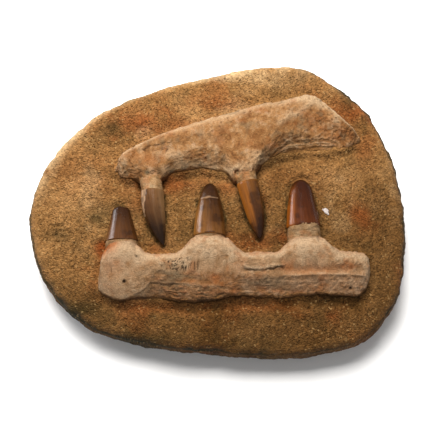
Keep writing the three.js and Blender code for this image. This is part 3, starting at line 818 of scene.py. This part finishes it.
def along_bone(points, degrees, stretch):
    """Points turned to the bone's run and shortened along it, so that noise on them forms fibres."""
    c, s = np.cos(np.radians(degrees)), np.sin(np.radians(degrees))
    x, y = points[..., 0] * c + points[..., 1] * s, points[..., 1] * c - points[..., 0] * s
    return np.stack([x / stretch, y, points[..., 2]], -1)


def dents(x, y, spots):
    """Round pits: (place, half width, depth) each."""
    return sum(depth * bump(np.hypot(x - px, y - py), half) for (px, py), half, depth in spots)


def crust(grid, grain, seed):
    """The rough face of a fossil bone: lumps, grit, and grooves where a stretched noise is near 0."""
    lumps = 0.3 * noise(grid, 12, seed, 2) + 0.22 * noise(grid, 4.2, seed + 2, 2)
    lumps = lumps + 0.3 * noise(grid, 1.6, seed + 4)
    winding = np.abs(noise(grain, 4.5, seed + 6, 3))
    return lumps, ease(winding, 0.1, 0) * ease(noise(grid, 14, seed + 9, 2), -0.1, 0.5)


def roughened(grid, up, detail):
    """The upper side is moved out by the detail, and the underside by a fifth of it."""
    return grid + flow(grid) * (detail * np.where(up > 0, 1, 0.2))[..., None]


def bone_fields(grid, up, lumps, rust, pale, grey, dark, grain):
    """The number fields of a bone, kept between 0 and 1, with the hubs' values added. High spots of the
    crust and the far wall are painted paler as painted highlights, low spots darker as painted shade, and
    sand sticks to the near wall's foot."""
    far_side = ease(np.arange(grid.shape[1]), 70, 105)
    sandy = 0.85 * ease(up + 0.25 * noise(grid, 5, 85, 3), 0.7, 0.3) * (1 - 0.8 * far_side)
    # Painted highlights on the crust's high spots and the top of the far wall; painted shade in the low
    # spots on the next line.
    pale = pale + 0.5 * ease(lumps, 0.08, 0.5) + 0.6 * far_side * ease(up, 0.98, 0.8)
    dark = dark + 0.22 * ease(-lumps, 0.15, 0.55)
    return over_rings(grain, rust=0.75 * rust, pale=pale, grey=grey, dark=dark, sandy=sandy)


# Places on the upper bone, as paths, and as ovals with their middle, half length and half width
UPPER_LIP = [(36, 31), (46, 35.5), (52, 41.5), (58, 45.5), (66, 46.5), (74, 47.5), (84, 49), (95, 48.5)]
UPPER_BREAK = [(80, 87), (90, 78), (99, 69), (113, 57)]
UPPER_CRACKS = [[(-57, 40), (-52, 43), (-47, 43), (-40, 45.5)], [(-50, 38.5), (-45, 40.5), (-38, 40)]]
UPPER_SEAM = [(-6, 60), (-1, 45), (-4, 32)]
UPPER_PALE_EDGE = [(-40, 22), (-9, 29), (4, 26), (14, 24), (30, 27)]
UPPER_GREY_EDGE = [(-58, 22), (-30, 26), (-12, 31)]
HOLLOW_RIM = [(50, 62), (59, 68), (66, 71), (71, 76), (77, 80)]
HOLLOWS = [((80, 64), 15, 8), ((97, 57), 11, 8)]
FORAMEN = (16, 21.5)
KNOB = (4, 57)


def make_upper_bone():
    grid, up = bone_surface(UPPER_JAW)
    x, y = grid[..., 0], grid[..., 1]
    grain = along_bone(grid, 20, 6)
    lumps, grooves = crust(grid, grain, 101)
    hollow = np.maximum(*(oval(x, y, *row) for row in HOLLOWS))
    spongy = noise(grid, 3.2, 113, 3)
    to_lip = to_path(x, y, UPPER_LIP)
    layers = np.sin(to_lip * 1.9 + 2.6 * noise(grid, 9, 109, 3)) * bump(to_lip, 4.5)
    rim = bump(to_path(x, y, HOLLOW_RIM) + noise(grid, 5, 115, 2), 2.4)
    break_ridge = bump(to_path(x, y, UPPER_BREAK) + 0.3 * noise(grid, 4, 117), 0.9)
    cracks = np.minimum(*(to_path(x, y, path) for path in UPPER_CRACKS))
    cracks = bump(cracks + 0.6 * noise(grid, 3, 119, 2), 0.7)
    seam = bump(to_path(x, y, UPPER_SEAM) + 1.2 * noise(grid, 4, 127, 2), 1.6)
    knob = bump(np.hypot(x - KNOB[0], y - KNOB[1]), 4)
    pore, luck = strewn(x, y, 5, 131)
    pores = (luck > 0.7) * bump(pore, 0.1 + 0.08 * luck)
    to_foramen = np.hypot(x - FORAMEN[0], y - FORAMEN[1])

    detail = lumps * (1 + 0.8 * hollow) - 0.25 * grooves + 0.3 * layers + 0.7 * rim + 0.6 * break_ridge
    detail += 0.6 * hollow * spongy - 0.5 * cracks - 0.4 * seam + 1.1 * knob
    detail -= 0.5 + 0.5 * pores + 2.4 * bump(to_foramen, 1.7)
    grid = roughened(grid, up, detail)

    rust = hollow * (0.45 + 0.35 * spongy) + 0.9 * bump(to_foramen, 2.4) + 0.3 * pores + 0.3 * cracks
    rust += 0.5 * ease(noise(grid, 9, 149, 4), 0.2, 0.9) + 0.35 * oval(x, y, (-58, 33), 13, 6)
    rust += 0.5 * bump(np.hypot(x - 4, y - 46), 3.5) + 0.25 * grooves
    pale = 0.55 * ease(layers, 0.1, 0.7) + 0.75 * oval(x, y, (71, 84), 11, 5) + 0.6 * rim
    pale += 0.6 * bump(to_path(x, y, UPPER_PALE_EDGE), 4)
    pale += 0.5 * break_ridge + 0.5 * oval(x, y, (38, 33), 7, 4)
    pale += 0.5 * ease(noise(grid, 12, 151, 3), 0.15, 0.9) + 0.3 * bump(x + 78, 8)
    grey = 0.5 * bump(to_path(x, y, UPPER_GREY_EDGE), 3) * ease(spongy, -0.3, 0.6)
    grey += 0.45 * ease(noise(grid, 6, 157, 3), 0.3, 0.9) + 0.4 * ease(-layers, 0.3, 0.8) + 0.3 * knob
    dark = 0.5 * pores + 0.55 * cracks + 0.7 * bump(to_foramen, 1.1) + 0.3 * grooves
    dark += 0.3 * ease(-layers, 0.5, 0.9)

    shades = ("#573619", "#744E2C", "#85603B", "#997A5D")
    material = bone_material("phosphatised_bone_tan", shades, "#7C4722", "#9A7F60", 0.5)
    fields = bone_fields(grid, up, lumps, rust, pale, grey, dark, grain)
    make_rings("upper_bone", grid, material, "upper_jaw_bone", fields)


# Places on the lower bone, and its domes over the sockets and its round pits
LOWER_CRACK = [(22, -57.5), (32, -58), (40, -57), (46, -56), (52, -56)]
LOWER_RIDGE = [(52, -61.5), (64, -61.5), (77, -60), (90, -60.5), (103, -60), (114, -61)]
LOWER_LEDGE = [
    (-87, -79), (-76, -79), (-65, -77), (-57, -73), (-50, -66), (-39, -66), (-27, -68), (-12, -70),
]
LOWER_LIP = [(16, -74), (30, -73), (41, -75), (52, -76), (64, -75), (75, -74)]
LOWER_STAIN = [(-88, -42), (-85, -39), (-80, -38)]
LOWER_GROOVE = [(54, -57), (68, -57), (87, -56), (104, -54)]
LOWER_END = [(113, -45), (117, -53), (116, -68), (109, -74)]
DOMES = [((-74, -45), 12, 9), ((-4, -40), 13, 10), ((68, -40), 14, 10)]
LOWER_PITS = [((-70, -66), 1.0, 2.4), ((-61, -47), 0.7, 1.0), ((-80, -58), 0.6, 0.8), ((103, -70), 1.0, 1.4)]


def make_lower_bone():
    grid, up = bone_surface(LOWER_JAW)
    x, y = grid[..., 0], grid[..., 1]
    grain = along_bone(grid, 0, 7)
    lumps, grooves = crust(grid, grain, 201)
    smooth = ease(-x, 44, 58)
    rough = 1 - smooth
    right = ease(x, 14, 24)
    domes = np.clip(sum(oval(x, y, *row) for row in DOMES), 0, 1)
    ragged = noise(grain, 5, 205, 3)
    ledge = y + 1.5 * ragged - np.interp(x, *np.array(LOWER_LEDGE).T)
    worn = ease(-ledge, -1, 1.5) * ease(-x, -14, -4)
    step = bump(ledge, 1.1) * ease(-x, -10, 0)
    terraces = np.sin((y + 3.5 * ragged + 3 * noise(grid, 6, 207, 3)) * 1.1) * worn
    terraces = terraces * ease(noise(grid, 9, 209, 2), -0.4, 0.4)
    porous = oval(x, y, (-27, -54), 14, 5.5)
    fibrous = oval(x, y, (-32, -62), 22, 7)
    hole, owner = strewn(x, y, 1.7, 211)
    network = ease(0.42 - hole, 0, 0.15) * (owner > 0.35)
    crack = bump(to_path(x, y + 0.9 * noise(grid, 4, 217, 3), LOWER_CRACK), 0.55)
    to_rim = to_path(x, y + 2.2, [(a, b + 4) for a, b in LOWER_CRACK])
    crack_rim = bump(to_rim + 0.6 * noise(grid, 5, 218, 2), 1.4)
    ridge = bump(to_path(x, y, LOWER_RIDGE) + 0.7 * noise(grid, 6, 219, 3), 0.9)
    lip = bump(to_path(x, y, LOWER_LIP) + noise(grid, 5, 221, 3), 1.5)
    scratch = noise(grain, 1.6, 223, 2)
    pits = dents(x, y, LOWER_PITS)

    detail = lumps * (1.3 - 0.9 * smooth) * (1 - 0.4 * domes) - 0.2 * grooves * rough
    detail += 0.1 * scratch * right - 0.45 * worn + 0.3 * terraces + 0.3 * step - 0.6 * porous * network
    detail += 0.45 * fibrous * noise(grid, 3.2, 225, 3) + 0.6 * crack_rim + 0.55 * ridge + 0.5 * lip
    detail -= 0.3 + 0.8 * crack + pits
    grid = roughened(grid, up, detail)

    blotch = noise(grid, 9, 227, 4)
    stained = bump(to_path(x, y, LOWER_STAIN) + 1.5 * noise(grid, 4, 228, 3), 5)
    # The rust towards the near side of the rough part is stain and painted shade both.
    rust = 1.1 * stained + 0.3 * ease(-y, 52, 70) * rough
    rust = rust + 0.5 * ease(blotch, 0.1, 0.8) * (1 - 0.6 * smooth) + 0.35 * terraces
    rust += 0.5 * bump(to_path(x, y, LOWER_GROOVE) + noise(grid, 5, 229, 3), 3)
    rust += 0.4 * oval(x, y, (-8, -62), 12, 6) * ease(blotch, -0.6, 0.5)
    rust += 0.35 * oval(x, y, (-77, -54), 7, 7) + 0.4 * ease(up, 0.95, 0.6) * ease(y, -50, -40)
    # Painted light: the far half is painted paler as if lit, the near side on the right is painted paler
    # where it lies in shade, and the crack's rim, the ridge and the far wall's top get painted highlights.
    lit_far_half = ease(y + 0.1 * x, -64, -50)
    pale = 0.5 * smooth + 0.75 * domes + 0.5 * (1 - right) * lit_far_half + 0.5 * crack_rim + 0.5 * ridge
    pale = pale + 0.35 * right * lit_far_half
    pale += 0.7 * porous + 0.55 * right * ease(-y, 61, 66) + 0.6 * lip + 0.4 * step
    pale += 0.5 * bump(to_path(x, y, LOWER_END), 3) + 0.5 * ease(up, 0.98, 0.8) * ease(y, -52, -45)
    pale *= 0.8 + 0.6 * noise(grid, 4, 231, 3)
    grey = 0.75 * fibrous * ease(scratch, -0.8, 0.5) + 0.5 * oval(x, y, (38, -65), 15, 5)
    grey += 0.2 * worn + 0.25 * ease(noise(grid, 6, 233, 3), 0.3, 0.9) * rough
    # The dark in the crack is its own colour and painted shade both.
    dark = 0.9 * ease(porous, 0.1, 0.5) * network + 0.6 * crack + 0.3 * ease(-terraces, 0.2, 0.9)
    dark += 0.9 * np.clip(pits, 0, 1) + 0.12 * grooves * rough + 0.3 * worn * ease(-blotch, 0, 0.8)

    shades = ("#54361B", "#6F4E2E", "#836142", "#967A5C")
    material = bone_material("phosphatised_bone_cream", shades, "#7F4822", "#967D61", 0.25)
    fields = bone_fields(grid, up, lumps, rust, pale, grey, dark, grain)
    make_rings("lower_bone", grid, material, "lower_jaw_bone", fields)


# Teeth


def oval_rings(centres, along, half_width, half_thickness, sides, keel=0.0):
    """Ovals square to an axis: half width across it, half thickness above it, with a keel each side.
    The seam runs along the underside."""
    across = np.stack([along[:, 1], -along[:, 0], np.zeros(len(along))], -1)
    across /= np.linalg.norm(across, axis=-1, keepdims=True)
    up = np.cross(across, along)
    up /= np.linalg.norm(up, axis=-1, keepdims=True)
    angle = TAU * np.arange(sides) / sides - np.pi / 2
    edge = 1 + keel * np.abs(np.cos(angle)) ** 12
    flat = (half_width[:, None] * edge * np.cos(angle))[..., None] * across[:, None]
    high = (half_thickness[:, None] * np.sin(angle))[..., None] * up[:, None]
    return centres[:, None] + flat + high, angle


def make_crown(name, tooth, shades, amber_side, bare_side=0.0, crack=None):
    rings, sides = 150, 120
    t = np.minimum(0.995, np.sin(np.pi / 2 * np.linspace(0, 1, rings)))
    centres, along = tooth_axis(tooth, t)
    share = crown_share(tooth, t) * (1 - 0.05 * (1 - t / 0.03) ** 2 * (t < 0.03))
    grid, angle = oval_rings(centres, along, tooth["width"] * share, tooth["thickness"] * share, sides, 0.05)
    seed = 300 + len(name)
    height = np.broadcast_to(t[:, None], grid.shape[:2])
    around = np.broadcast_to(angle, grid.shape[:2])
    length = np.linalg.norm(np.diff(centres, axis=0), axis=-1).sum()
    grain = np.stack([np.cos(around) * 14, np.sin(around) * 14, height * length / 14], -1)
    detail = 0.10 * noise(grid, 6, seed, 3) + 0.07 * noise(grain, 1.2, seed + 3, 2)
    bare = np.zeros(grid.shape[:2])
    if bare_side:
        edge = 0.35 + 1.25 * height
        bare = ease(np.cos(around) + 0.2 * noise(grid, 5, seed + 5, 2) - edge, 0, 0.1)
        detail -= 0.3 * bare
    dark = 0.5 * ease(noise(grid, 7, seed + 7, 3), 0.2, 0.8)
    if crack:
        sideways = np.abs(np.cos(around))
        line = np.abs(height - crack - 0.02 * noise(grid, 5, seed + 9, 2)) * length
        line = line + 9 * ease(sideways, 0.8, 0.95)
        detail -= 0.35 * bump(line, 0.35)
        bare = np.maximum(bare, 0.6 * bump(line, 0.35))
        foot = np.abs(height - 0.035 - 0.02 * noise(grid, 5, seed + 13, 2)) * length
        dark = np.maximum(dark, 0.9 * bump(foot + 9 * ease(sideways, 0.3, 0.5), 0.5))
    if tooth["blunt"] > 20:
        chipped = ease(height, 0.88, 0.97)
        detail += chipped * 0.9 * noise(grid, 3, seed + 11, 2)
        dark = np.maximum(dark, 0.5 * chipped)
    detail *= ease(share, 0, 0.25)[:, None]
    grid = grid + flow(grid) * detail[..., None]
    amber = ease(np.cos(around) * amber_side + 0.35 * noise(grain, 5, seed + 15, 2), 0, 1)
    amber = amber * ease(height, 0.95, 0.3)
    fields = over_rings(grain, height=height, amber=amber, bare=bare, dark=dark)
    material = enamel_material(f"fossil_enamel_{name}", *shades)
    make_rings(f"{name}_enamel", grid, material, f"{name}_crown", fields)


def make_root(name, tooth):
    rings, sides = 90, 110
    f = np.linspace(0, 1, rings)
    near, facing = [row[0] for row in tooth_axis(tooth, np.array([0.0]))]
    facing = facing / np.linalg.norm(facing)
    end = np.array([*tooth["end"], rock_face(*tooth["end"])])
    centres = end + (near + facing * 1.2 - end) * f[:, None]
    along = (near - end) / np.linalg.norm(near - end)
    along = along * (1 - f[:, None] ** 2) + facing * f[:, None] ** 2
    closing = np.sqrt(1 - 0.98 * (1 - f) ** 6)
    half_width = closing * (tooth["end_width"] + (tooth["neck"] - tooth["end_width"]) * (1 - (1 - f) ** 2))
    half_thickness = closing * (6 + (tooth["neck_thickness"] - 6) * f)
    tuck = 1 - 0.02 * ease(f, 0.8, 1)
    grid, angle = oval_rings(centres, along, half_width * tuck, half_thickness * tuck, sides)
    seed = 400 + len(name)
    height = np.broadcast_to(f[:, None], grid.shape[:2])
    around = np.broadcast_to(angle, grid.shape[:2])
    grain = np.stack([np.cos(around) * 12, np.sin(around) * 12, height * 3], -1)
    rungs = np.abs(noise(np.stack([height * 14, np.cos(around), np.sin(around)], -1), 1.6, seed, 2))
    detail = 0.25 * noise(grid, 7, seed + 1, 3) + 0.08 * noise(grain, 1.4, seed + 2, 2)
    detail = detail - 0.25 * bump(rungs, 0.08)
    grid = grid + flow(grid) * detail[..., None]
    rust = 0.4 * ease(noise(grid, 6, seed + 3, 3), 0.1, 0.8)
    pale = 0.4 * ease(noise(grid, 8, seed + 4, 3), -0.1, 0.8)
    dark = 0.35 * bump(rungs, 0.08)
    grey = 0.3 * ease(noise(grid, 5, seed + 5, 3), 0.2, 0.9)
    fields = over_rings(grain, rust=rust, pale=pale, grey=grey, dark=dark, sandy=0 * dark)
    shades = ("#5F4225", "#745534", "#846646", "#8F7454")
    material = bone_material(f"cementum_{name}", shades, "#7C4722", "#978063", 0.5)
    make_rings(f"{name}_cementum", grid, material, f"{name}_root", fields)


CHIP_AT = (86.5, -6.5)
CHIP_TURN = np.radians(-55)


def make_shell_chip():
    """A thin broken plate of shell: a low superellipse dome with growth ridges, tilted in the rock."""
    rings, sides = 24, 48
    f = np.linspace(0, 1, rings)
    angle = TAU * np.arange(sides) / sides
    spread = np.sin(np.pi * np.clip(f, 0.01, 0.99))[:, None] ** 0.5
    corner = 1 + 0.16 * np.cos(3 * angle + 0.7) + 0.1 * np.cos(5 * angle)
    x = 3.4 * spread * corner * np.cos(angle)
    y = 1.9 * spread * corner * np.sin(angle)
    z = -0.9 * np.cos(np.pi * f)[:, None] * np.ones(sides) + 0.1 * np.sin(x * 4)
    cosine, sine = np.cos(CHIP_TURN), np.sin(CHIP_TURN)
    cx, cy = CHIP_AT
    grid = np.stack([cx + x * cosine - y * sine, cy + x * sine + y * cosine, z], -1)
    grid[..., 2] += rock_face(cx, cy) - 0.6 + 0.12 * x
    make_rings("shell_fragment", grid[::-1], shell_material(), "shell_chip")


# The picture

CAMERA_HEIGHT = 72  # degrees above the horizon
CAMERA_DISTANCE = 850
CAMERA_TARGET = (0.0, -6.0, 22.0)
HALF_FIELD = 172.8  # seen to each side of the target
FLOOR_REACH = 6  # metres


def make_camera():
    data = bpy.data.cameras.new("camera")
    data.sensor_width = 36
    data.lens = 18 * CAMERA_DISTANCE / HALF_FIELD
    camera = add_object("camera", data)
    height = np.radians(CAMERA_HEIGHT)
    away = np.array([0, -np.cos(height), np.sin(height)])
    camera.location = place(np.array(CAMERA_TARGET) + away * CAMERA_DISTANCE)
    camera.rotation_euler = (np.radians(90 - CAMERA_HEIGHT), 0, 0)
    bpy.context.scene.camera = camera


def make_light(name, place_at, target, size, watts, shade, mirrored=True):
    """A soft box that faces its target. One that isn't mirrored makes no highlights."""
    data = bpy.data.lights.new(name, "AREA")
    data.shape = "RECTANGLE"
    data.size, data.size_y = size
    data.energy = watts
    data.color = shade
    light = add_object(name, data)
    light.location = place_at
    light.visible_glossy = mirrored
    light.rotation_euler = (Vector(target) - Vector(place_at)).to_track_quat("-Z", "Y").to_euler()


def make_studio():
    mesh = bpy.data.meshes.new("floor")
    corners = [(FLOOR_REACH * a, FLOOR_REACH * b, 0) for a, b in ((-1, -1), (1, -1), (1, 1), (-1, 1))]
    mesh.from_pydata(corners, [], [(0, 1, 2, 3)])
    material, tree = new_material("white_paper_sweep")
    inputs = {"Base Color": colour("#F6F6F6"), "Roughness": 0.9}
    inputs |= {"Emission Color": (1, 1, 1, 1), "Emission Strength": 0.07}
    shader = node(tree, "ShaderNodeBsdfPrincipled", inputs)
    node(tree, "ShaderNodeOutputMaterial", {"Surface": shader})
    mesh.materials.append(material)
    add_object("floor", mesh)
    world = bpy.data.worlds.new("studio")
    world.use_nodes = True
    background = world.node_tree.nodes["Background"]
    background.inputs["Color"].default_value = (1, 1, 1, 1)
    background.inputs["Strength"].default_value = 0.25
    bpy.context.scene.world = world
    make_light("key", (-0.1, 0.38, 0.68), (-0.05, 0.02, 0.03), (0.6, 0.6), 17.5, (1, 0.98, 0.95), False)
    make_light("strip", (0, 0.3, 0.93), (0, 0, 0.04), (0.03, 0.3), 0.18, (0.95, 0.93, 1))
    make_light("side", (-0.75, 0.42, 0.26), (0, 0, 0.04), (0.3, 0.3), 2.5, (0.96, 0.96, 1))
    bpy.context.scene.view_settings.view_transform = "Standard"


make_camera()
make_studio()
rock = rock_material()
make_slab(rock)
make_grains("sand_grains_left", rock, -145, 0, 5)
make_grains("sand_grains_right", rock, 0, 147, 6)
make_upper_bone()
make_lower_bone()
CROWN_SHADES = {
    "upper_tooth_left": (-1, "#56381D", "#432A15", "#1C0F06", "#654A2F"),
    "upper_tooth_right": (1, "#583514", "#3C220E", "#221108", "#7C4817"),
    "lower_tooth_left": (-1, "#41240D", "#381F0A", "#271305", "#523216"),
    "lower_tooth_middle": (-1, "#573616", "#3F240B", "#261306", "#6B451D"),
    "lower_tooth_right": (-1, "#431E06", "#341504", "#260E04", "#6A370C"),
}
for tooth_name, tooth_row in TEETH.items():
    make_crown(
        tooth_name, tooth_row, CROWN_SHADES[tooth_name][1:], CROWN_SHADES[tooth_name][0],
        bare_side=float(tooth_name == "upper_tooth_left"),
        crack=0.74 if tooth_name == "lower_tooth_middle" else None,
    )
    make_root(tooth_name, tooth_row)
make_shell_chip()
